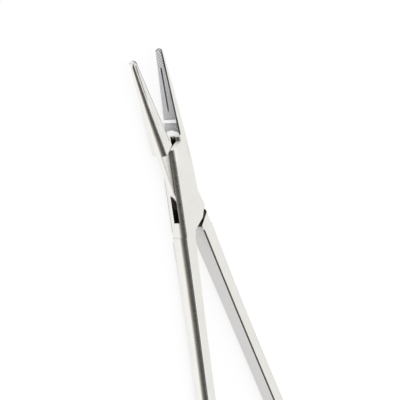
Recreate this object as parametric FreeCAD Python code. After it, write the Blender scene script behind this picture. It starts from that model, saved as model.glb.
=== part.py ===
import FreeCAD, Part
import math
import os
from FreeCAD import Vector

# Needle holder with a box lock, in millimetres
# It lies flat: the underside of the box is the plane z = 0, the pivot axis is the z axis,
# and +y runs along the bisector of the open jaws towards their tips.
# Each half is drawn closed, with its jaw on +x and its shank on -x, and then turned open.

# Opening
rest_opening = 14.3         # degrees between the two jaws as the instrument lies
jaw_contact_gap = 0.1       # left between the two gripping faces when it is shut

# Reach along the instrument, measured from the pivot axis
tip_reach = 41.5
jaw_root = 16.8
box_tail = 12.0
ratchet_radius = 113.0
ring_reach = 158.5

# Thickness
box_thickness = 5.6
tip_thickness = 2.3
shank_thickness = 4.75
tenon_thickness = 1.9
tenon_face_clearance = 0.05
tenon_wall_clearance = 0.12
grinding_allowance = 0.04

# Width of the jaws, the box and the shanks
jaw_root_width = 3.3
jaw_tip_width = 1.5
box_half_width = 4.05
box_tail_half_width = 4.5
shank_top_width = 4.45
shank_width = 4.1
shank_inner_offset = 0.3
shank_even = 54.0           # past this distance from the pivot the shank keeps its section
shank_spread = 3.3          # degrees that each shank leans out from the shut jaws' line

# Section corners, and how far the outer sides round over before their corners, in degrees
edge_radius = 0.45
jaw_face_chamfer = 0.3
jaw_tip_edge_radius = 0.6
shank_edge_radius = 0.7
shank_inner_chamfer = 0.35
jaw_rounding = 14.0
shank_rounding = 24.0
corner_steps = 3            # flats that make up one rounded corner
jaw_crown = 0.4             # drop of a jaw's top face towards its outer side
jaw_crown_start = 0.3       # share of the width that stays flat beside the gripping face
tip_nose_radius = 1.3
tip_flat = 0.25             # part of the tip's end that stays square to the gripping face

# Plan of the box lock
cheek_front_inner = 15.0    # front edge of the cheeks, at the gripping face
cheek_front_outer = 12.75   # the same edge, at the side of the box
cheek_rear = [              # rear edge of the cheeks, from the shank out to the flare's corner
    (-0.3, -10.75), (3.75, -7.9), (4.8, -5.5), (5.9, -4.7),
]
flare_start = 1.2
flare_reach = 4.7
flare_half_width = 5.9
wall_front = 16.2           # mortise wall at the gripping face
wall_front_side = 7.35      # the same wall, at the side of the box
wall_rear = 10.75           # mortise wall at the shank
wall_rear_side = 7.75       # the same wall, at the side of the box
waist = [(4.6, 4.4), (3.18, -2.05)]     # line that each side of the tenon follows past the pivot
shoulder_clearance = 0.2

# Pivot pin
pin_diameter = 3.0
pin_running_clearance = 0.05
pin_head_diameter = 4.2
pin_head_depth = 0.6

# Serration of the gripping faces
groove_pitch = 0.73         # from groove to groove along the jaw
groove_lean = 30.0          # degrees that a groove leans from straight across
groove_width = 0.42
groove_depth = 0.2
cross_groove_depth = 0.15
serration_start = 17.3
serration_peak = 18.3       # where the pattern's lower edge rises to at mid-height
plain_band_low = 20.2
plain_band_high = 21.2
slot_start = 22.8           # lengthwise slot down the middle of the gripping face
slot_end = 36.7
slot_width = 0.45
slot_depth = 0.35
slot_run_out = 1.6

# Ratchet
arm_width = 4.4
arm_reach = 4.6             # how far each arm passes the middle line when shut
arm_skin = 0.3              # arm's outer face below the shank's own face
arm_root_width = 9.0
tooth_count = 3
tooth_pitch = 1.9
tooth_height = 0.7
tooth_passing_clearance = 0.1

# Finger rings
ring_opening_length = 24.0
ring_opening_width = 20.0
ring_bar_width = 4.2
ring_bar_sides = 12         # flats that make up the rounded bar of a ring
ring_gap = 3.6              # between the two rings when shut
ring_end_sharpness = 0.87   # radius of the ring's ends as a share of its half width

mid_height = box_thickness / 2
rough_thickness = box_thickness + 2 * grinding_allowance
shank_slope = math.tan(math.radians(shank_spread))
shank_end = ring_reach - ring_bar_width - ring_opening_length * 0.92
far = 400.0


def section(y, x_inner, x_outer, thickness, inner_chamfer, outer_radius, rounding, crown=0, both=False):
    """Outline across the bar at station y. A crown lowers the top and lifts the foot towards a rounded side."""
    turn = 1 if x_outer > x_inner else -1
    half = thickness / 2
    outer = rounded_side(y, x_outer, turn, half - crown, outer_radius, rounding)
    if both:
        inner = rounded_side(y, x_inner, -turn, half - crown, outer_radius, rounding)
    else:
        inner = bevelled_side(y, x_inner, -turn, half, inner_chamfer)
    edges = inner + outer
    for sign, end in ((1, -1), (-1, 0)):
        level = mid_height + sign * half
        inner_end = inner[end].Vertexes[end].Point
        outer_end = outer[end].Vertexes[end].Point
        if crown == 0:
            edges.append(Part.LineSegment(inner_end, outer_end).toShape())
            continue
        outer_flat = Vector(x_outer * jaw_crown_start, y, level)
        inner_flat = Vector(x_inner * jaw_crown_start, y, level) if both else inner_end
        edges.append(Part.LineSegment(inner_flat, outer_flat).toShape())
        edges.append(crowned(outer_flat, outer_end))
        if both:
            edges.append(crowned(inner_flat, inner_end))
    return Part.Wire(Part.sortEdges(edges)[0])


def crowned(flat, end):
    """Arc that leaves the flat part of a face level and drops to its end."""
    drop = (end.z - flat.z) / 4
    return Part.Arc(flat, Vector((flat.x + end.x) / 2, flat.y, flat.z + drop), end).toShape()


def bevelled_side(y, x, turn, half, chamfer):
    """Flat side with bevelled edges, from its foot to its top."""
    points = [
        Vector(x - turn * chamfer, y, mid_height - half), Vector(x, y, mid_height - half + chamfer),
        Vector(x, y, mid_height + half - chamfer), Vector(x - turn * chamfer, y, mid_height + half),
    ]
    return [Part.LineSegment(a, b).toShape() for a, b in zip(points, points[1:])]


def rounded_side(y, x, turn, half, radius, rounding):
    """Side of one wide arc that runs smoothly into a rounded corner at its foot and at its top."""
    angle = math.radians(rounding)
    wide = radius + (half - radius) / math.sin(angle)

    def on_corner(share):
        bend = blend(angle, math.pi / 2, share)
        across = x - turn * (wide - (wide - radius) * math.cos(angle) - radius * math.cos(bend))
        return across, half - radius + radius * math.sin(bend)

    rise = [on_corner(step / corner_steps) for step in range(corner_steps + 1)]
    low = [Vector(a, y, mid_height - b) for a, b in reversed(rise)]
    high = [Vector(a, y, mid_height + b) for a, b in rise]
    edges = [Part.LineSegment(a, b).toShape() for a, b in zip(low, low[1:])]
    edges.append(Part.Arc(low[-1], Vector(x, y, mid_height), high[0]).toShape())
    edges += [Part.LineSegment(a, b).toShape() for a, b in zip(high, high[1:])]
    return edges


def plan_prism(points, low, high):
    """Upright prism over an outline of (x, y) points."""
    corners = [Vector(x, y, low) for x, y in points]
    outline = Part.makePolygon(corners + corners[:1])
    return Part.Face(outline).extrude(Vector(0, 0, high - low))


def moved_line(first, last, distance):
    """The line through two plan points, moved to its left by a distance."""
    run = math.hypot(last[0] - first[0], last[1] - first[1])
    step_x = -(last[1] - first[1]) / run * distance
    step_y = (last[0] - first[0]) / run * distance
    return (first[0] + step_x, first[1] + step_y), (last[0] + step_x, last[1] + step_y)


def longer(first, last, factor):
    """The point that lies past the last one, on the line from the first."""
    return (first[0] + (last[0] - first[0]) * factor, first[1] + (last[1] - first[1]) * factor)


def blend(first, last, share):
    return first + (last - first) * share


def shank_inner(y):
    """Distance of the shank's inner side from the middle line, when shut."""
    return shank_inner_offset + shank_slope * (-y - box_tail)


# Lengthwise forms of one half

def jaw():
    """Jaw that tapers to its tip in width and thickness, with a serrated gripping face."""
    wires = []
    for share in (0.0, 0.4, 0.75, 1.0):
        wires.append(section(
            blend(jaw_root, tip_reach, share),
            jaw_contact_gap / 2, blend(jaw_root_width, jaw_tip_width, share ** 1.25),
            blend(rough_thickness, tip_thickness, share),
            jaw_face_chamfer, blend(edge_radius, jaw_tip_edge_radius, share), jaw_rounding, jaw_crown))
    bar = Part.makeLoft(wires, True, True)
    bar = bar.common(tip_outline()).common(tip_profile())
    for lean, depth in ((groove_lean, groove_depth), (-groove_lean, cross_groove_depth)):
        bar = bar.cut(serration(lean, depth))
    return bar.cut(face_slot())


def tip_outline():
    """Prism whose end rounds the outer side of the tip as seen from above."""
    low = mid_height - box_thickness
    reach = math.sqrt(0.5) * tip_nose_radius
    centre = Vector(tip_flat, tip_reach - tip_nose_radius, low)
    crown = centre + Vector(0, tip_nose_radius, 0)
    side = centre + Vector(tip_nose_radius, 0, 0)
    lean = Vector(box_half_width, -box_half_width * 3, 0)
    back = jaw_root - 1
    corners = [side + lean, Vector(side.x + lean.x, back, low), Vector(-box_half_width, back, low),
               Vector(-box_half_width, tip_reach, low), crown]
    edges = [
        Part.Arc(crown, centre + Vector(reach, reach, 0), side).toShape(),
        Part.makePolygon([side] + corners),
    ]
    return Part.Face(Part.Wire(edges)).extrude(Vector(0, 0, box_thickness * 2))


def serration(lean, depth):
    """Slanting V grooves across the gripping face, left out over the plain band."""
    face = jaw_contact_gap / 2
    half = groove_width / 2
    over = jaw_face_chamfer
    along = Vector(0, math.sin(math.radians(lean)), math.cos(math.radians(lean)))
    across = Vector(0, along.z, -along.y)
    rise = 1 + over / depth
    length = box_thickness * 2
    grooves = []
    number = int((tip_reach - serration_start + box_thickness) / groove_pitch)
    for step in range(number):
        middle = Vector(face, tip_reach - groove_pitch * (step - 2.5), mid_height)
        points = [middle + Vector(depth, 0, 0),
                  middle - across * half * rise - Vector(over, 0, 0),
                  middle + across * half * rise - Vector(over, 0, 0)]
        points = [point - along * length / 2 for point in points]
        grooves.append(Part.Face(Part.makePolygon(points + points[:1])).extrude(along * length))
    zone = serrated_zone()
    return [groove.common(zone) for groove in grooves]


def serrated_zone():
    """The two parts of the gripping face that are serrated, as blocks."""
    reach = box_thickness
    near = Vector(-reach, 0, 0)
    upper = [(plain_band_high, -reach), (tip_reach + reach, -reach), (tip_reach + reach, reach),
             (plain_band_high, reach)]
    lower = [(serration_start, -mid_height), (serration_peak, 0), (serration_start, mid_height),
             (plain_band_low, mid_height), (plain_band_low, -mid_height)]
    blocks = []
    for outline in (upper, lower):
        points = [near + Vector(0, y, mid_height + z) for y, z in outline]
        blocks.append(Part.Face(Part.makePolygon(points + points[:1])).extrude(Vector(2 * reach, 0, 0)))
    return Part.makeCompound(blocks)


def face_slot():
    """Lengthwise slot in the gripping face, running out at both ends as a small wheel leaves it."""
    face = jaw_contact_gap / 2
    low = mid_height - slot_width / 2
    points = [
        Vector(face - slot_depth, slot_start - slot_run_out, low),
        Vector(face + slot_depth, slot_start + slot_run_out, low),
        Vector(face + slot_depth, slot_end - slot_run_out, low),
        Vector(face - slot_depth, slot_end + slot_run_out, low),
    ]
    return Part.Face(Part.makePolygon(points + points[:1])).extrude(Vector(0, 0, slot_width))


def tip_profile():
    """Prism whose end rounds the tip as seen from the side."""
    radius = tip_thickness / 2
    start = -box_half_width
    nose = Vector(start, tip_reach, mid_height)
    low = Vector(start, tip_reach - radius, mid_height - radius)
    high = Vector(start, tip_reach - radius, mid_height + radius)
    back = Vector(start, jaw_root - 1, mid_height)
    rise = Vector(0, 0, box_thickness)
    edges = [
        Part.Arc(low, nose, high).toShape(),
        Part.makePolygon([high, back + rise, back - rise, low]),
    ]
    return Part.Face(Part.Wire(edges)).extrude(Vector(box_half_width * 3, 0, 0))


def box_blank():
    """Full block of the box, before either half is cut to its own shape."""
    ground_off = grinding_allowance / 2
    stations = [
        (jaw_root, jaw_root_width, jaw_crown),
        (jaw_root / 2, blend(jaw_root_width, box_half_width, 0.6), ground_off),
        (0.0, box_half_width, ground_off),
        (-box_tail / 2, blend(box_half_width, box_tail_half_width, 0.45), ground_off),
        (-box_tail, box_tail_half_width, ground_off),
    ]
    wires = [
        section(y, -half, half, rough_thickness, 0, edge_radius, jaw_rounding, crown, both=True)
        for y, half, crown in stations
    ]
    return Part.makeLoft(wires, True, True)


def flare():
    """Widening of the cheeks that covers the other shank when the instrument is open."""
    stations = [
        (flare_start, box_half_width - edge_radius),
        (-flare_reach, flare_half_width),
        (-box_tail, flare_half_width),
    ]
    wires = [
        section(y, 1.0, half, rough_thickness, edge_radius, edge_radius, jaw_rounding)
        for y, half in stations
    ]
    return Part.makeLoft(wires, True, True)


def ground_flat(block):
    """The block with its top and underside ground to the thickness of the box."""
    span = Part.makeBox(2 * far, 2 * far, box_thickness, Vector(-far, -far, 0))
    return block.common(span)


def shank():
    """Bar that leans out, thins and turns from a square section to a rounded one."""
    wires = []
    for share in (0.0, 0.12, 0.35, 0.65, 1.0):
        easing = 1 - (1 - share) ** 2
        wires.append(bar_section(
            -blend(box_tail, shank_even, share),
            blend(shank_top_width, shank_width, easing),
            blend(rough_thickness, shank_thickness, easing),
            blend(edge_radius, shank_edge_radius, easing),
            blend(jaw_rounding, shank_rounding, easing)))
    length = shank_end - shank_even
    rest = Part.Face(wires[-1]).extrude(Vector(-length * shank_slope, -length, 0))
    return Part.makeLoft(wires, True, True).fuse(rest)


def bar_section(y, width, thickness, radius, rounding):
    inner = shank_inner(y)
    return section(y, -inner, -inner - width, thickness, shank_inner_chamfer, radius, rounding)


def finger_ring():
    """Oval ring of a rounded bar: two tight end arcs and two wide side arcs, tangent to each other."""
    half_long = (ring_opening_length + ring_bar_width) / 2
    half_wide = (ring_opening_width + ring_bar_width) / 2
    centre = Vector(-(ring_gap / 2 + ring_bar_width / 2 + half_wide),
                    -(ring_reach - ring_bar_width / 2 - half_long), mid_height)
    end_radius = half_wide * ring_end_sharpness
    side_radius = (half_long ** 2 + half_wide ** 2 - 2 * half_long * end_radius) / (2 * (half_wide - end_radius))
    meet = math.degrees(math.atan2(half_long - end_radius, side_radius - half_wide))
    ring = None
    for turn in (0, 180):
        side = ring_arc(Vector(half_wide - side_radius, 0, 0), side_radius, -meet, 2 * meet)
        end = ring_arc(Vector(0, half_long - end_radius, 0), end_radius, meet, 180 - 2 * meet)
        both = side.fuse(end)
        both.rotate(Vector(0, 0, 0), Vector(0, 0, 1), turn)
        ring = both if ring is None else ring.fuse(both)
    ring.translate(centre)
    return ring


def ring_arc(centre, radius, start, span):
    """One stretch of the ring's bar, turned about an upright axis through the centre."""
    points = []
    for step in range(ring_bar_sides):
        angle = 2 * math.pi * (step + 0.5) / ring_bar_sides
        across = ring_bar_width / 2 * math.cos(angle) / math.cos(math.pi / ring_bar_sides)
        rise = box_thickness / 2 * math.sin(angle) / math.sin(math.pi / 2 - math.pi / ring_bar_sides)
        points.append(Vector(centre.x + radius + across, centre.y, rise))
    face = Part.Face(Part.makePolygon(points + points[:1]))
    face.rotate(centre, Vector(0, 0, 1), start)
    return face.revolve(centre, Vector(0, 0, 1), span)


def ratchet_arm():
    """Arm that crosses under the other one, with its teeth on top."""
    crest = mid_height - tooth_passing_clearance / 2
    base = crest - tooth_height
    floor = mid_height - shank_thickness / 2 + arm_skin
    inner_radius = ratchet_radius - arm_width / 2
    outer_radius = ratchet_radius + arm_width / 2
    root_x = -shank_inner(-ratchet_radius)
    ring = Part.makeCylinder(outer_radius, base - floor, Vector(0, 0, floor))
    ring = ring.cut(Part.makeCylinder(inner_radius, base - floor, Vector(0, 0, floor)))
    span = plan_prism([(root_x - 1, -far / 2), (arm_reach, -far / 2),
                       (arm_reach, 0), (root_x - 1, 0)], floor, base)
    arm = ring.common(span)
    root = plan_prism([
        (root_x - 1.5, -ratchet_radius - arm_root_width / 2),
        (root_x + 0.9, -ratchet_radius - arm_width / 2),
        (root_x + 0.9, -ratchet_radius + arm_width / 2),
        (root_x - 1.5, -ratchet_radius + arm_root_width / 2),
    ], floor, mid_height + shank_thickness / 2 - arm_skin)
    arm = arm.fuse(root)
    for number in range(tooth_count):
        arm = arm.fuse(ratchet_tooth(arm_reach - (number + 1) * tooth_pitch, base, crest))
    return arm


def ratchet_tooth(x, base, crest):
    """One saw tooth across the arm, steep on the side that holds."""
    length = arm_width
    near = -ratchet_radius - length / 2
    points = [
        Vector(x, near, base - 0.1),
        Vector(x, near, base),
        Vector(x + 0.1, near, crest),
        Vector(x + 0.35, near, crest),
        Vector(x + tooth_pitch - 0.15, near, base),
        Vector(x + tooth_pitch - 0.15, near, base - 0.1),
    ]
    tooth = Part.Face(Part.makePolygon(points + points[:1])).extrude(Vector(0, length, 0))
    return tooth


# Cutters of the box lock, in the frame of the half that they cut

def mortise():
    """Space for the tenon, open at the front left and the rear right."""
    half = tenon_thickness / 2 + tenon_face_clearance
    front_a, front_b = moved_line((box_half_width, wall_front_side), (0, wall_front), -tenon_wall_clearance)
    rear_a, rear_b = moved_line((-box_half_width, -wall_rear_side),
                                (-shank_inner_offset, -wall_rear), -tenon_wall_clearance)
    outline = [
        longer(front_b, front_a, 3), longer(front_a, front_b, 3),
        (-far / 4, box_tail * 3), longer(rear_b, rear_a, 3),
        longer(rear_a, rear_b, 1.0), (-shank_inner_offset, -far / 8), (far / 8, -far / 8),
    ]
    return plan_prism(outline, mid_height - half, mid_height + half)


def box_outline():
    """Plan of the box half: front notch, rear edge and the flare's corner."""
    notch_slope = (cheek_front_inner - cheek_front_outer) / box_half_width
    return plan_prism([
        (jaw_contact_gap / 2, far / 2),
        (jaw_contact_gap / 2, cheek_front_inner),
        (-far / 8, cheek_front_inner - notch_slope * far / 8),
        (-far / 8, -far / 8),
        (-shank_inner_offset, -far / 8),
        *cheek_rear,
        (far / 8, cheek_rear[-1][1]),
        (far / 8, far / 2),
    ], -1, box_thickness + 1)


def tenon_outline():
    """Plan of the tenon half, drawn with its jaw on +x."""
    high, low = waist
    return plan_prism([
        (jaw_contact_gap / 2, far / 2),
        (jaw_contact_gap / 2, wall_front),
        crossing((0, wall_front), (-box_half_width, wall_front_side), (-low[0], -low[1]), (-high[0], -high[1])),
        longer((-low[0], -low[1]), (-high[0], -high[1]), 2),
        (-far / 8, -far / 8),
        (-shank_inner_offset, -far / 8),
        (-shank_inner_offset, -wall_rear),
        (shank_inner_offset, -wall_rear),
        crossing((shank_inner_offset, -wall_rear), (box_half_width, -wall_rear_side), low, high),
        longer(low, high, 2),
        (far / 8, far / 2),
    ], -1, box_thickness + 1)


def crossing(a, b, c, d):
    """Plan point where the line through a and b meets the line through c and d."""
    run_x, run_y = b[0] - a[0], b[1] - a[1]
    way_x, way_y = d[0] - c[0], d[1] - c[1]
    share = ((c[0] - a[0]) * way_y - (c[1] - a[1]) * way_x) / (run_x * way_y - run_y * way_x)
    return (a[0] + run_x * share, a[1] + run_y * share)


def cheek_relief(low, high):
    """Space above or below the tenon, where the cheeks lie, between its two shoulders."""
    front_slope = (cheek_front_inner - cheek_front_outer) / box_half_width
    reach = far / 20
    front = cheek_front_inner + shoulder_clearance
    face = jaw_contact_gap / 2
    rear = [(-x, y - shoulder_clearance) for x, y in reversed(cheek_rear)]
    return plan_prism([
        (-reach, rear[0][1]),
        (-reach, jaw_root + 1),
        (face, jaw_root + 1),
        (face, front),
        (reach, front - front_slope * reach),
        (reach, rear[-1][1]),
        *reversed(rear),
    ], low, high)


def pin_hole(diameter):
    return Part.makeCylinder(diameter / 2, box_thickness + 2, Vector(0, 0, -1))


def pin_profile(low, high):
    """Headed rivet, as a turned solid between two levels."""
    shank_r = pin_diameter / 2
    head_r = pin_head_diameter / 2
    points = [
        Vector(0, 0, low), Vector(head_r, 0, low), Vector(shank_r, 0, low + pin_head_depth),
        Vector(shank_r, 0, high - pin_head_depth), Vector(head_r, 0, high), Vector(0, 0, high),
    ]
    face = Part.Face(Part.makePolygon(points + points[:1]))
    return face.revolve(Vector(0, 0, 0), Vector(0, 0, 1), 360)


# The three pieces

def box_half():
    blank = box_blank().fuse(flare()).common(box_outline())
    blank = blank.cut(mortise())
    blank = blank.cut(pin_profile(0, box_thickness))
    half = ground_flat(blank.fuse([jaw(), shank()]))
    half = half.fuse([finger_ring(), ratchet_arm()])
    return half.removeSplitter()


def tenon_half():
    half_tenon = tenon_thickness / 2
    blank = box_blank().common(tenon_outline())
    blank = blank.cut(cheek_relief(mid_height + half_tenon, box_thickness + 1))
    blank = blank.cut(cheek_relief(-1, mid_height - half_tenon))
    blank = blank.cut(pin_hole(pin_diameter + 2 * pin_running_clearance))
    upper_arm = ratchet_arm().mirror(Vector(0, 0, mid_height), Vector(0, 0, 1))
    half = ground_flat(blank.fuse([jaw(), shank()]))
    half = half.fuse([finger_ring(), upper_arm])
    return half.removeSplitter().mirror(Vector(0, 0, 0), Vector(1, 0, 0))


def pivot_pin():
    return pin_profile(0, box_thickness)


def turned(shape, degrees):
    copy = shape.copy()
    copy.rotate(Vector(0, 0, 0), Vector(0, 0, 1), degrees)
    return copy


pieces = {
    "box_half": turned(box_half(), -rest_opening / 2),
    "tenon_half": turned(tenon_half(), rest_opening / 2),
    "pivot_pin": pivot_pin(),
}

os.makedirs("parts", exist_ok=True)
for name, piece in pieces.items():
    solid = piece.Solids[0]
    solid.exportStep("parts/" + name + ".step")
    print(name, "solids", len(piece.Solids), "valid", piece.isValid(), "volume", round(piece.Volume, 1))
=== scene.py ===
# %% [markdown]
# # A needle holder in satin stainless steel
#
# The instrument arrives as three exact solids: two forged halves and the rivet that they turn on.
# Blender gives them the finish that a workshop gives the real one, and then the floor, the light and
# the camera of a plain catalogue picture. Everything is in metres, in the frame of the solids:
# the rivet's axis is z, the jaws point along +y, and the underside of the box lies on z = 0.

# %% Load the solids
import math
import bpy
from mathutils import Matrix, Vector

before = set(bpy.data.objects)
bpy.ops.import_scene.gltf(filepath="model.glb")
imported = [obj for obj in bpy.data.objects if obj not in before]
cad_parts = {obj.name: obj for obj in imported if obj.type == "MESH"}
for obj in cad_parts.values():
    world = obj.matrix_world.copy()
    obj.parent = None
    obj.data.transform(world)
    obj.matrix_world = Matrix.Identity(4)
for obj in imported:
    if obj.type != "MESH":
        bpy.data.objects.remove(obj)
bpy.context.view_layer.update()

print("solids:", sorted(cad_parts))

# %% [markdown]
# ## Small helpers
#
# Colours are easiest to write as the hex codes of a colour picker, but shaders count in linear light,
# so one function turns the first into the second. A second function adds any shader node. It takes the
# node's settings and what goes into its inputs: a number, a socket, or a node, whose first output is
# meant. Nodes could also be wired by hand in the editor, but a list of them can be read, copied and
# run again. The kinds of node that come back often have a short name, and so have their settings.

# %% Colour and node helpers
MM = 0.001


def linear(code):
    """An sRGB hex colour as the linear RGBA that a shader socket takes."""
    parts = [int(code[i:i + 2], 16) / 255 for i in (1, 3, 5)]
    return [c / 12.92 if c <= 0.04045 else ((c + 0.055) / 1.055) ** 2.4 for c in parts] + [1.0]


def add(tree, kind, settings=None, inputs=()):
    """Adds a node with its settings, the stops of a colour ramp among them, and fills its inputs."""
    node = tree.nodes.new(kind)
    for key, value in (settings or {}).items():
        if key != "stops":
            setattr(node, key, value)
            continue
        elements = node.color_ramp.elements
        while len(elements) < len(value):
            elements.new(0.5)
        for element, (position, code) in zip(elements, value):
            element.position = position
            element.color = linear(code)
    for key, value in inputs.items() if isinstance(inputs, dict) else enumerate(inputs):
        if isinstance(value, bpy.types.Node):
            value = value.outputs[0]
        if isinstance(value, bpy.types.NodeSocket):
            tree.links.new(value, node.inputs[key])
        else:
            node.inputs[key].default_value = value
    return node


print("mid grey in linear light:", round(linear("#808080")[0], 3))

# %% [markdown]
# Most of the nodes here do arithmetic on the place of a point, so these are the words for it. A range
# node takes a value, the two ends that it runs between, and the two ends that it is mapped to. It holds
# at its ends, and a smooth one also eases into them.

# %% Words for the nodes that come back
MATH = "ShaderNodeMath"
VECTOR_MATH = "ShaderNodeVectorMath"
RANGE = "ShaderNodeMapRange"
SPLIT = "ShaderNodeSeparateXYZ"
JOIN = "ShaderNodeCombineXYZ"
TURN = "ShaderNodeMapping"
MIX = "ShaderNodeMix"
MIX_COLOUR = "ShaderNodeMixRGB"
NOISE = "ShaderNodeTexNoise"
RAMP = "ShaderNodeValToRGB"
BUMP = "ShaderNodeBump"

plus = {"operation": "ADD"}
minus = {"operation": "SUBTRACT"}
times = {"operation": "MULTIPLY"}
over = {"operation": "DIVIDE"}
below = {"operation": "LESS_THAN"}
above = {"operation": "GREATER_THAN"}
larger = {"operation": "MAXIMUM"}
smaller = {"operation": "MINIMUM"}
amount = {"operation": "ABSOLUTE"}
sign = {"operation": "SIGN"}
evenly = {"interpolation_type": "LINEAR"}
smoothly = {"interpolation_type": "SMOOTHSTEP"}
as_direction = {"vector_type": "NORMAL"}
of_vectors = {"data_type": "VECTOR"}
print("arithmetic:", [word["operation"] for word in (plus, minus, times, over)])

# %% [markdown]
# ## Where a point lies on its half
#
# Each half was drawn closed and then turned open, so along each of them the bar runs a few degrees off
# the y axis. The finish follows the bar: hair lines run across it, its outer sides are rounded by
# the belt, and its gripping face is milled. A group of coordinates that is turned with the half tells the
# material how far along and how high a point lies, and which way its surface faces.
#
# Where the box passes into a shank, the solid's outer side has a small step, a quarter of a millimetre
# deep. On the real one the belt has run over it. The face of this step is shaded as if it faced the
# side, so that it shows less.

# %% Coordinates that follow a half
half_angle = 7.15
box_tail = -12.0 * MM
step_skin = 0.02 * MM  # how far a point of the step's face may lie off its plane
step_side = 4.3 * MM  # the step lies further out than this


def bar_place(tree, angle):
    """Place and surface direction along a half that leans by an angle, and the direction turned back."""
    turn = math.radians(angle)
    source = add(tree, "ShaderNodeTexCoord")
    place = add(tree, TURN, None, {"Vector": source.outputs["Object"], "Rotation": (0, 0, -turn)})
    seen = add(tree, TURN, as_direction, {"Vector": source.outputs["Normal"], "Rotation": (0, 0, -turn)})
    x, y = add(tree, SPLIT, None, [place]).outputs[:2]
    from_tail = add(tree, MATH, amount, [add(tree, MATH, minus, [y, box_tail])])
    at_tail = add(tree, MATH, below, [from_tail, step_skin])
    outside = add(tree, MATH, above, [add(tree, MATH, amount, [x]), step_side])
    on_step = add(tree, MATH, times, [at_tail, outside])
    sideways = add(tree, JOIN, None, [add(tree, MATH, sign, [x])])
    facing = add(tree, MIX, of_vectors, {0: on_step, 4: seen, 5: sideways}).outputs[1]
    normal = add(tree, TURN, as_direction, {"Vector": facing, "Rotation": (0, 0, turn)})
    return place, facing, normal


print("half leans, degrees:", half_angle)

# %% [markdown]
# ## Belt-rounded sides
#
# The outer sides of such an instrument are drawn along a soft abrasive belt, so they are
# never flat: they roll over towards the top and the underside, and that is what makes the light fall
# off from white to black across them. The best way to make this is to round the solid, because then
# the outline is round too. These solids have corners and only some of that roundness, and their
# meshes stay as they are, so the material does the rest: it leans the surface's direction up or down,
# in step with the height above the middle of the bar, up to 60 degrees at the top edge.
#
# First comes the height: 0 in the middle of the bar's thickness, 1 at its top and -1 at its underside.
# The shanks are thinner than the box, and the jaws grow thinner towards the tip.

# %% Height on the bar
jaw_root = 16.8 * MM
jaw_tip = 41.5 * MM
jaw_crown = 0.4 * MM
tip_half = 1.15 * MM
thin_shank = -54.0 * MM
shank_half = 2.375 * MM
mid_height = 2.8 * MM


def bar_height(tree, y, z):
    """The height of a point on a half, from -1 at the underside to 1 at the top."""
    shank = add(tree, RANGE, evenly, [y, thin_shank, box_tail, shank_half, mid_height])
    crown = add(tree, RANGE, evenly, [y, jaw_root / 2, jaw_root, 0, jaw_crown])
    taper = add(tree, RANGE, evenly, [y, jaw_root, jaw_tip, 0, mid_height - tip_half])
    half = add(tree, MATH, minus, [add(tree, MATH, minus, [shank, crown]), taper])
    rise = add(tree, MATH, over, [add(tree, MATH, minus, [z, mid_height]), half])
    return add(tree, RANGE, evenly, [rise, -1, 1, -1, 1])


print("jaw, mm:", round((jaw_tip - jaw_root) / MM, 1))

# %% [markdown]
# The lean grows quickly near the middle and more slowly near the edge. The lower half leans less,
# because the picture shows it pale, like a face that mirrors the white sheet. Where the solid's own
# corner already leans further than this, it is left alone.

# %% Lean of a rounded side
side_roll = 60
roll_shape = 0.72
foot_roll = 0.35
roll_change = 0.05


def side_lean(tree, height, nz, level):
    """What is added to the z of the surface's direction to round a side."""
    steep = add(tree, MATH, {"operation": "POWER"}, [add(tree, MATH, amount, [height]), roll_shape])
    share = add(tree, RANGE, evenly, [height, -roll_change, roll_change, -foot_roll, 1])
    bend = add(tree, MATH, times, [steep, share])
    turned = add(tree, MATH, times, [bend, math.radians(side_roll)])
    lean = add(tree, MATH, {"operation": "TANGENT"}, [turned])
    change = add(tree, MATH, minus, [add(tree, MATH, times, [level, lean]), nz])
    upwards = add(tree, MATH, larger, [change, 0])
    downwards = add(tree, MATH, smaller, [change, 0])
    upper = add(tree, MATH, above, [height, 0])
    return add(tree, MIX, {"data_type": "FLOAT"}, {0: upper, 2: downwards, 3: upwards})


print("sides roll over by, degrees:", side_roll)

# %% [markdown]
# Only the outer sides are drawn over the belt. Faces that a milling cutter or a flat stone made, which
# are the gripping faces and the inner sides of the shanks, stay flat. A face counts as a side when it
# faces almost squarely left or right. At the box both sides are outer ones. On a jaw and a shank
# the outer one faces away from the other half.

# %% Outer and inner sides
side_on = (0.93, 0.97)  # a face starts to count as a side at the first, and fully does at the second
box_middle = 2.6 * MM
box_reach = 13.6 * MM


def bar_sides(tree, y, sideways, jaw_side):
    """How much a face is an outer side, an inner side and either, on a half whose jaw is at +x or -x."""
    squarely = add(tree, RANGE, smoothly, [add(tree, MATH, amount, [sideways]), *side_on])
    away = add(tree, MATH, times, [add(tree, MATH, times, [y, sideways]), jaw_side])
    outward = add(tree, MATH, above, [away, 0])
    from_middle = add(tree, MATH, amount, [add(tree, MATH, minus, [y, box_middle])])
    at_box = add(tree, MATH, below, [from_middle, box_reach])
    outer = add(tree, MATH, times, [squarely, add(tree, MATH, larger, [outward, at_box])])
    inner = add(tree, MATH, times, [squarely, add(tree, MATH, minus, [1, outward])])
    return outer, inner, squarely


print("box sides run, mm:", round((box_middle - box_reach) / MM, 1), "to",
      round((box_middle + box_reach) / MM, 1))

# %% [markdown]
# The tip of a jaw is dressed by hand on the wheel until it is round like the end of an egg, so that it
# slips between tissues. The solids' tips are blunter, so the material shades them as a ball that was
# stretched into an egg: the direction points away from the egg's middle, after each axis is divided by
# the egg's half length along it. The solids' jaws are also crowned, and the picture's look level, so
# their tops are shaded as if they faced straight up, and their undersides straight down.

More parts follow.
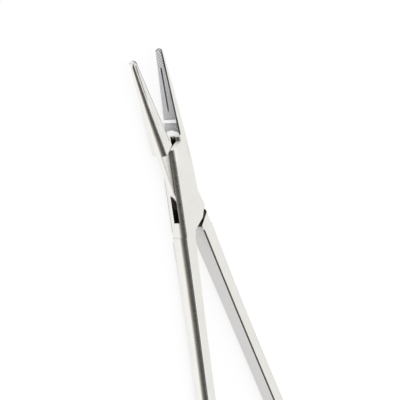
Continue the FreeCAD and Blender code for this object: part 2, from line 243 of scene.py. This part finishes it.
# %% Tips, tops and the whole rounding
egg_half = (0.8 * MM, 1.5 * MM, tip_half)
egg_middle = (0.7 * MM, jaw_tip - 1.5 * MM, mid_height)
egg_zone = (jaw_tip - 1.6 * MM, jaw_tip - 0.7 * MM)
grip_facing = -0.9  # a face that looks further towards the other jaw than this is the gripping face
top_facing = (0.8, 0.88)  # a face starts to count as a top at the first, and fully does at the second
over_one = 1.0001  # keeps the number under the root above zero


def tip_direction(tree, place, jaw_side):
    """Surface direction of the egg-shaped end of a jaw, turned back to the frame of the solid."""
    middle = (jaw_side * egg_middle[0], egg_middle[1], egg_middle[2])
    from_middle = add(tree, VECTOR_MATH, minus, [place, middle])
    egg = add(tree, VECTOR_MATH, times, [from_middle, [1 / half for half in egg_half]])
    turn = (0, 0, math.radians(-jaw_side * half_angle))
    return add(tree, TURN, as_direction, {"Vector": egg, "Rotation": turn})


def worked_direction(tree, place, facing, normal, jaw_side):
    """The surface's direction after belt, stone and wheel, and how much a face is an inner or any side."""
    y, z = add(tree, SPLIT, None, [place]).outputs[1:]
    nx, _, nz = add(tree, SPLIT, None, [facing]).outputs
    remainder = add(tree, MATH, minus, [over_one, add(tree, MATH, times, [nz, nz])])
    level = add(tree, MATH, {"operation": "SQRT"}, [remainder])
    outer, inner, squarely = bar_sides(tree, y, add(tree, MATH, over, [nx, level]), jaw_side)
    lean = side_lean(tree, bar_height(tree, y, z), nz, level)
    lift = add(tree, JOIN, None, {2: add(tree, MATH, times, [lean, outer])})
    rounded = add(tree, VECTOR_MATH, plus, [normal, lift])
    straight_up = add(tree, JOIN, None, {2: add(tree, MATH, sign, [nz])})
    on_top = add(tree, RANGE, smoothly, [add(tree, MATH, amount, [nz]), *top_facing])
    on_jaw = add(tree, RANGE, smoothly, [y, jaw_root / 2, jaw_root])
    stoned = add(tree, MATH, times, [on_top, on_jaw])
    levelled = add(tree, MIX, of_vectors, {0: stoned, 4: rounded, 5: straight_up}).outputs[1]
    at_tip = add(tree, RANGE, smoothly, [y, *egg_zone])
    off_grip = add(tree, MATH, above, [add(tree, MATH, times, [nx, jaw_side]), grip_facing])
    on_egg = add(tree, MATH, times, [at_tip, off_grip])
    egg = tip_direction(tree, place, jaw_side)
    shaped = add(tree, MIX, of_vectors, {0: on_egg, 4: levelled, 5: egg}).outputs[1]
    to_world = {"vector_type": "NORMAL", "convert_from": "OBJECT", "convert_to": "WORLD"}
    return add(tree, "ShaderNodeVectorTransform", to_world, [shaped]), inner, squarely


print("egg-shaped tip, mm:", [round(2 * half / MM, 2) for half in egg_half])

# %% [markdown]
# ## Milled gripping faces
#
# The gripping faces are cut after the satin finish, so their crests are whiter and cooler than the
# rest. The grooves get painted shade that grows darker with depth, for the shade that falls in them.
# The grooves themselves are in the solids. How deep a point lies under the face is read from its
# distance to the middle line.

# %% Colour of the gripping faces, with painted shade in the grooves
contact = 0.05 * MM  # how far the closed faces stand off the middle line
groove_depth = 0.2 * MM
# white crests, then painted shade that grows darker towards the bottoms of the grooves
crest_and_groove_shade_colours = [(0.0, "#ffffff"), (0.5, "#fbfbff"), (0.8, "#84848a"), (1.0, "#242428")]


def crests_and_groove_shade(tree, x, jaw_side):
    """White crests and painted shade in the grooves, by the depth under the gripping face."""
    across = add(tree, MATH, times, [x, jaw_side])
    depth = add(tree, RANGE, evenly, [across, contact, contact + groove_depth, 0, 1])
    return add(tree, RAMP, {"stops": crest_and_groove_shade_colours}, [depth])


print("grooves reach, mm:", round(groove_depth / MM, 2))

# %% [markdown]
# ## Inside the box lock
#
# The tenon and the slot that it turns in are fitted before the finish is put on, and after that no wheel
# reaches them. They lie in the shade of the lock. A painted shade, a dark grey on their faces, stands in
# for that shade and helps to make the gaps of a box lock look black. It could be painted face by face,
# but the place and the direction of a face tell just as well what lies inside. In the box half that is
# what lies within the height of the slot, and in the tenon half it is the upright faces. In both, faces
# that look squarely left or right are left out.

# %% Painted shade inside the lock
slot_half = 1.06 * MM
lock_front = 17.0 * MM
lock_rear = -12.4 * MM
flat_facing = 0.9  # a face whose direction has more height than this lies flat
upright_facing = 0.1  # and one whose direction has less than this stands upright


def in_lock(tree, place, facing, squarely, jaw_side):
    """1 on the faces inside the box lock, 0 on the others."""
    y, z = add(tree, SPLIT, None, [place]).outputs[1:]
    nz = add(tree, MATH, amount, [add(tree, SPLIT, None, [facing]).outputs[2]])
    behind = add(tree, MATH, below, [y, lock_front])
    along = add(tree, MATH, times, [behind, add(tree, MATH, above, [y, lock_rear])])
    flat = add(tree, MATH, above, [nz, flat_facing])
    askew = add(tree, MATH, minus, [1, add(tree, MATH, larger, [squarely, flat])])
    if jaw_side > 0:
        from_middle = add(tree, MATH, amount, [add(tree, MATH, minus, [z, mid_height])])
        deep = add(tree, MATH, below, [from_middle, slot_half])
        hidden = add(tree, MATH, times, [deep, add(tree, MATH, larger, [askew, flat])])
    else:
        hidden = add(tree, MATH, times, [askew, add(tree, MATH, below, [nz, upright_facing])])
    return add(tree, MATH, times, [hidden, along])


print("lock reaches, mm:", round(lock_rear / MM, 1), "to", round(lock_front / MM, 1))

# %% [markdown]
# ## Satin stainless steel
#
# Surgical instruments are forged in martensitic stainless steel, ground to shape on a belt, and then
# given a satin finish with a fine wheel or a bead blast, so that they don't dazzle under theatre lamps.
# To the eye this is a pale, slightly warm grey metal with soft reflections.
#
# The belt leaves hair lines across the bar, about a tenth of a millimetre apart, and the satin wheel
# softens them. They are drawn at twice that pitch, which is still finer than a pixel of the
# picture, so there they only break up the gloss a little, and they show as fine dashes close up.
# The metal could be painted with an image, but noise that is stretched along the belt's direction does
# the same at any size and needs no picture. A broad noise gives the faint clouds of handling, and a
# very fine one the grain of the blast.

# %% Hair lines, clouds and grain
hair_pitch = 0.2 * MM
hair_length = 30 * hair_pitch
cloud_size = 6 * MM
grain_size = 0.12 * MM


def belt_lines(tree, place):
    """Noise that is stretched across the bar, like the marks of the belt."""
    stretch = (1 / hair_length, 1 / hair_pitch, 1 / hair_length)
    lines = add(tree, TURN, None, {"Vector": place, "Scale": stretch})
    return add(tree, NOISE, None, {"Vector": lines, "Scale": 1.0, "Detail": 3.0, "Roughness": 0.6})


print("hair lines, mm:", round(hair_pitch / MM, 2), "apart and", round(hair_length / MM, 1), "long")

# %% [markdown]
# The colour is put together in the order of the work. The forging is satin all over. The inner sides of
# the shanks are stoned flat, which is duller, and their darker grey is also painted shade for the shade
# that falls between the shanks. Then the gripping faces are cut, and their grooves get painted shade.
# Corners and gaps get painted shade where ambient occlusion is low, which is where little of the sky can
# be seen. The step behind the box isn't such a gap, so it gets none. Last, the faces inside the lock get
# painted shade.

# %% Colour of the steel
satin_colours = [(0.3, "#f4f3ef"), (0.7, "#f9f8f5")]
# stoned inner sides: a duller finish, and a darker grey that is also painted shade between the shanks
stoned_and_shaded_colour = "#d6d5d4"
# painted shade on the faces inside the lock
lock_shade_colour = "#8a867f"
# painted shade for gaps and corners, by ambient occlusion
gap_shade_colours = [(0.45, "#3a3833"), (0.64, "#b5b2ab"), (0.82, "#ffffff")]
stoned_behind = box_tail + 2 * MM
grip_reach = (0.4 * MM, 0.5 * MM)
gap_width = 1.0 * MM
sky_samples = 8
unshaded_reach = 1.5 * MM
unshaded_side = 3.5 * MM


def steel_colour(tree, place, facing, inner, squarely, jaw_side):
    """The colour of a half, from satin to stoned and cut, with painted shade in grooves, gaps and lock."""
    x, y = add(tree, SPLIT, None, [place]).outputs[:2]
    across = add(tree, MATH, amount, [x])
    clouds = add(tree, NOISE, None, {"Vector": place, "Scale": 1 / cloud_size, "Detail": 3.0})
    satin = add(tree, RAMP, {"stops": satin_colours}, [clouds])
    # The inner sides of the shanks are duller from the stone, and their darker grey is also painted shade.
    stoned = add(tree, MATH, times, [inner, add(tree, MATH, below, [y, stoned_behind])])
    dull_and_shaded = add(tree, MIX_COLOUR, None, [stoned, satin, linear(stoned_and_shaded_colour)])
    at_face = add(tree, RANGE, smoothly, [across, *grip_reach, 1, 0])
    on_grip = add(tree, MATH, times, [add(tree, MATH, above, [y, jaw_root]), at_face])
    # the gripping faces, with painted shade in their grooves
    milled_and_groove_shaded = add(tree, MIX_COLOUR, None, [on_grip, dull_and_shaded, crests_and_groove_shade(tree, x, jaw_side)])
    # Painted shade: gaps and corners are darkened where ambient occlusion is low.
    sky = add(tree, "ShaderNodeAmbientOcclusion", {"samples": sky_samples}, {"Distance": gap_width})
    painted_gap_shade = add(tree, RAMP, {"stops": gap_shade_colours}, [sky.outputs["AO"]])
    # the step behind the box gets no painted shade
    from_tail = add(tree, MATH, amount, [add(tree, MATH, minus, [y, box_tail])])
    near_tail = add(tree, MATH, below, [from_tail, unshaded_reach])
    unshaded_step = add(tree, MATH, times, [near_tail, add(tree, MATH, above, [across, unshaded_side])])
    gap_shaded = add(tree, MIX_COLOUR, {"blend_type": "MULTIPLY"},
                 [add(tree, MATH, minus, [1, unshaded_step]), milled_and_groove_shaded, painted_gap_shade])
    # Painted shade: the faces inside the box lock are darkened.
    lock_shade = in_lock(tree, place, facing, squarely, jaw_side)
    return add(tree, MIX_COLOUR, None, [lock_shade, gap_shaded, linear(lock_shade_colour)])


# the painted shade darkens gaps narrower than this
print("grime sits in gaps under, mm:", round(gap_width / MM, 1))

# %% [markdown]
# The steel itself is a metal with a roughness that changes a little from one hair line to the next.
# Two faint bumps, for the grain and for the hair lines, lie on the worked surface. Each half has its
# own material, because each leans its own way. The rivet stays with the box half and is ground flush
# with it, so it has that half's finish.

# %% Steel material
hair_range = (0.3, 0.7)
satin_gloss = (0.26, 0.36)
grain_bump = {"Strength": 0.08, "Distance": 0.01 * MM}
hair_bump = {"Strength": 0.05, "Distance": 0.02 * MM}


def satin_steel(name, angle, jaw_side):
    """Satin steel whose hair lines run across a bar that leans by an angle, in degrees."""
    material = bpy.data.materials.new(name)
    material.use_nodes = True
    tree = material.node_tree
    tree.nodes.clear()
    place, facing, normal = bar_place(tree, angle)
    worked, inner, squarely = worked_direction(tree, place, facing, normal, jaw_side)
    hair = belt_lines(tree, place)
    grain = add(tree, NOISE, None, {"Vector": place, "Scale": 1 / grain_size, "Detail": 2.0})
    colour = steel_colour(tree, place, facing, inner, squarely, jaw_side)
    gloss = add(tree, RANGE, evenly, [hair, *hair_range, *satin_gloss])
    fine = add(tree, BUMP, None, {**grain_bump, "Height": grain, "Normal": worked})
    rows = add(tree, BUMP, None, {**hair_bump, "Height": hair, "Normal": fine})
    surface = add(tree, "ShaderNodeBsdfPrincipled", None,
                  {"Metallic": 1.0, "Base Color": colour, "Roughness": gloss, "Normal": rows})
    add(tree, "ShaderNodeOutputMaterial", None, {"Surface": surface})
    return material


finishes = {
    "box_half": satin_steel("satin_steel_box_half", -half_angle, 1),
    "tenon_half": satin_steel("satin_steel_tenon_half", half_angle, -1),
    "pivot_pin": satin_steel("satin_steel_pivot_pin", -half_angle, 1),
}
for name, material in finishes.items():
    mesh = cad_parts[name].data
    if not mesh.materials:
        mesh.materials.append(material)
    for index in range(len(mesh.materials)):
        mesh.materials[index] = material
    print(name, "faces", len(mesh.polygons), "finish", material.name)

# %% [markdown]
# ## Camera
#
# The picture was taken from the instrument's left, about 42 degrees above the table, with the picture's
# upward direction along the table. The camera could be pointed with a tracking constraint, but then its
# roll is harder to hold. Here its three axes are written out in a frame that is turned 21.5 degrees
# from the instrument's, and then brought back to it.

# %% Camera
camera_elevation = math.radians(42.0)
instrument_turn = math.radians(21.5)
camera_distance = 0.6
pixels_per_metre = 3551.0
pivot_pixel = (182.3, 193.2)
picture = 400.0
rivet_middle = Vector((0, 0, mid_height))

side = Vector((math.sin(camera_elevation), 0, math.cos(camera_elevation)))
up = Vector((0, 1, 0))
back = Vector((-math.cos(camera_elevation), 0, math.sin(camera_elevation)))
shift_x = (pivot_pixel[0] - picture / 2) / pixels_per_metre
shift_y = (picture / 2 - pivot_pixel[1]) / pixels_per_metre
stand = back * camera_distance - side * shift_x - up * shift_y
to_instrument = Matrix.Rotation(-instrument_turn, 4, "Z")
axes = Matrix((
    (side.x, up.x, back.x, stand.x),
    (side.y, up.y, back.y, stand.y),
    (side.z, up.z, back.z, stand.z),
    (0, 0, 0, 1),
))

camera_data = bpy.data.cameras.new("camera")
camera_data.sensor_fit = "HORIZONTAL"
camera_data.angle = 2 * math.atan(picture / 2 / pixels_per_metre / camera_distance)
camera_data.clip_start = 0.01
camera_data.clip_end = 20
camera = bpy.data.objects.new("camera", camera_data)
bpy.context.scene.collection.objects.link(camera)
camera.matrix_world = Matrix.Translation(rivet_middle) @ to_instrument @ axes
bpy.context.scene.camera = camera
print("lens angle, degrees:", round(math.degrees(camera_data.angle), 2))

# %% [markdown]
# ## Floor
#
# The catalogue picture has a pure white ground. A white sheet is laid under the instrument. More light
# would make it white too, but would also bleach the steel, so most of what the camera and the
# steel see of the sheet is an even glow, and the rest is paper, which takes a faint shadow.

# %% Floor
floor_reach = 3.0
floor_depth = 0.2 * MM  # a little under the steel, so that the two never share a plane
glow_share = 0.85

floor_mesh = bpy.data.meshes.new("floor")
corners = [(-1, -1), (1, -1), (1, 1), (-1, 1)]
floor_mesh.from_pydata([(floor_reach * x, floor_reach * y, 0) for x, y in corners], [], [(0, 1, 2, 3)])
floor = bpy.data.objects.new("floor", floor_mesh)
bpy.context.scene.collection.objects.link(floor)
floor.location.z = -floor_depth
white_sheet = bpy.data.materials.new("white_sheet")
white_sheet.use_nodes = True
tree = white_sheet.node_tree
tree.nodes.clear()
path = add(tree, "ShaderNodeLightPath").outputs
seen = add(tree, MATH, larger, [path["Is Camera Ray"], path["Is Glossy Ray"]])
share = add(tree, MATH, times, [seen, glow_share])
paper = add(tree, "ShaderNodeBsdfDiffuse", None, {"Color": linear("#fafafa")})
glow = add(tree, "ShaderNodeEmission", None, {"Color": linear("#ffffff"), "Strength": 1.0})
sheet = add(tree, "ShaderNodeMixShader", None, [share, paper, glow])
add(tree, "ShaderNodeOutputMaterial", None, {"Surface": sheet})
floor_mesh.materials.append(white_sheet)
print("floor, m:", 2 * floor_reach)

# %% [markdown]
# ## Light
#
# Steel shows little but what it mirrors, so it is photographed in a light tent, which is white almost
# all round. This tent has one wide, dark opening. It lies 40 degrees from the camera's side, towards
# the finger rings, and it is palest at the table and darkest high up. The rounded sides mirror it as dark
# bands that fade to white. The tent's other walls are a little greyer near the table than overhead.
#
# Only mirrored rays see the tent. All other light of the world is plain white, and so is what the
# camera sees of it. The tent stays in one place in the world, so it doesn't follow the camera.
# An area lamp overhead gives the faint shadow, and isn't mirrored.

# %% Light tent
opening_turn = math.radians(40)
opening_edge = (0.2, 0.6)
wall_colours = [(0.0, "#bdbcb7"), (0.25, "#d8d7d2"), (0.6, "#eae9e5"), (0.9, "#ffffff")]
opening_colours = [(0.0, "#cbc9bf"), (0.15, "#a8a499"), (0.38, "#79756a"), (0.62, "#403d34"),
                   (0.82, "#14120f"), (0.94, "#14120f"), (0.985, "#ffffff")]
opening = to_instrument.to_3x3() @ Vector((-math.cos(opening_turn), -math.sin(opening_turn), 0))

world = bpy.data.worlds.new("light_tent")
bpy.context.scene.world = world
world.use_nodes = True
tree = world.node_tree
tree.nodes.clear()
direction = add(tree, "ShaderNodeTexCoord").outputs["Generated"]
rise = add(tree, SPLIT, None, [direction]).outputs[2]
flat = add(tree, VECTOR_MATH, times, [direction, (1, 1, 0)])
flat = add(tree, VECTOR_MATH, {"operation": "NORMALIZE"}, [flat])
facing = add(tree, VECTOR_MATH, {"operation": "DOT_PRODUCT"}, [flat, opening]).outputs["Value"]
in_opening = add(tree, RANGE, smoothly, [facing, *opening_edge])
walls = add(tree, RAMP, {"stops": wall_colours}, [rise])
room = add(tree, RAMP, {"stops": opening_colours}, [rise])
tent = add(tree, MIX_COLOUR, None, [in_opening, walls, room])
path = add(tree, "ShaderNodeLightPath").outputs
mirrored = add(tree, MIX_COLOUR, None, [path["Is Glossy Ray"], linear("#ffffff"), tent])
inside = add(tree, "ShaderNodeBackground", None, {"Color": mirrored, "Strength": 1.0})
plain = add(tree, "ShaderNodeBackground", None, {"Color": linear("#ffffff"), "Strength": 1.0})
around = add(tree, "ShaderNodeMixShader", None, [path["Is Camera Ray"], inside, plain])
add(tree, "ShaderNodeOutputWorld", None, {"Surface": around})
print("tent opening faces:", [round(c, 2) for c in opening])

# %% [markdown]
# The soft box is long and narrow and hangs a metre above the instrument.

# %% Lamp and view
lamp_place = Vector((0.12, 0, 1.0))

lamp_data = bpy.data.lights.new("soft_box", "AREA")
lamp_data.shape = "RECTANGLE"
lamp_data.size = 0.3
lamp_data.size_y = 1.0
lamp_data.energy = 1.5
lamp = bpy.data.objects.new("soft_box", lamp_data)
bpy.context.scene.collection.objects.link(lamp)
lamp.location = to_instrument @ lamp_place
lamp.visible_glossy = False
lamp.rotation_euler = lamp.location.to_track_quat("Z", "Y").to_euler()
bpy.context.scene.view_settings.view_transform = "Standard"
print("lamp, watts:", lamp_data.energy)
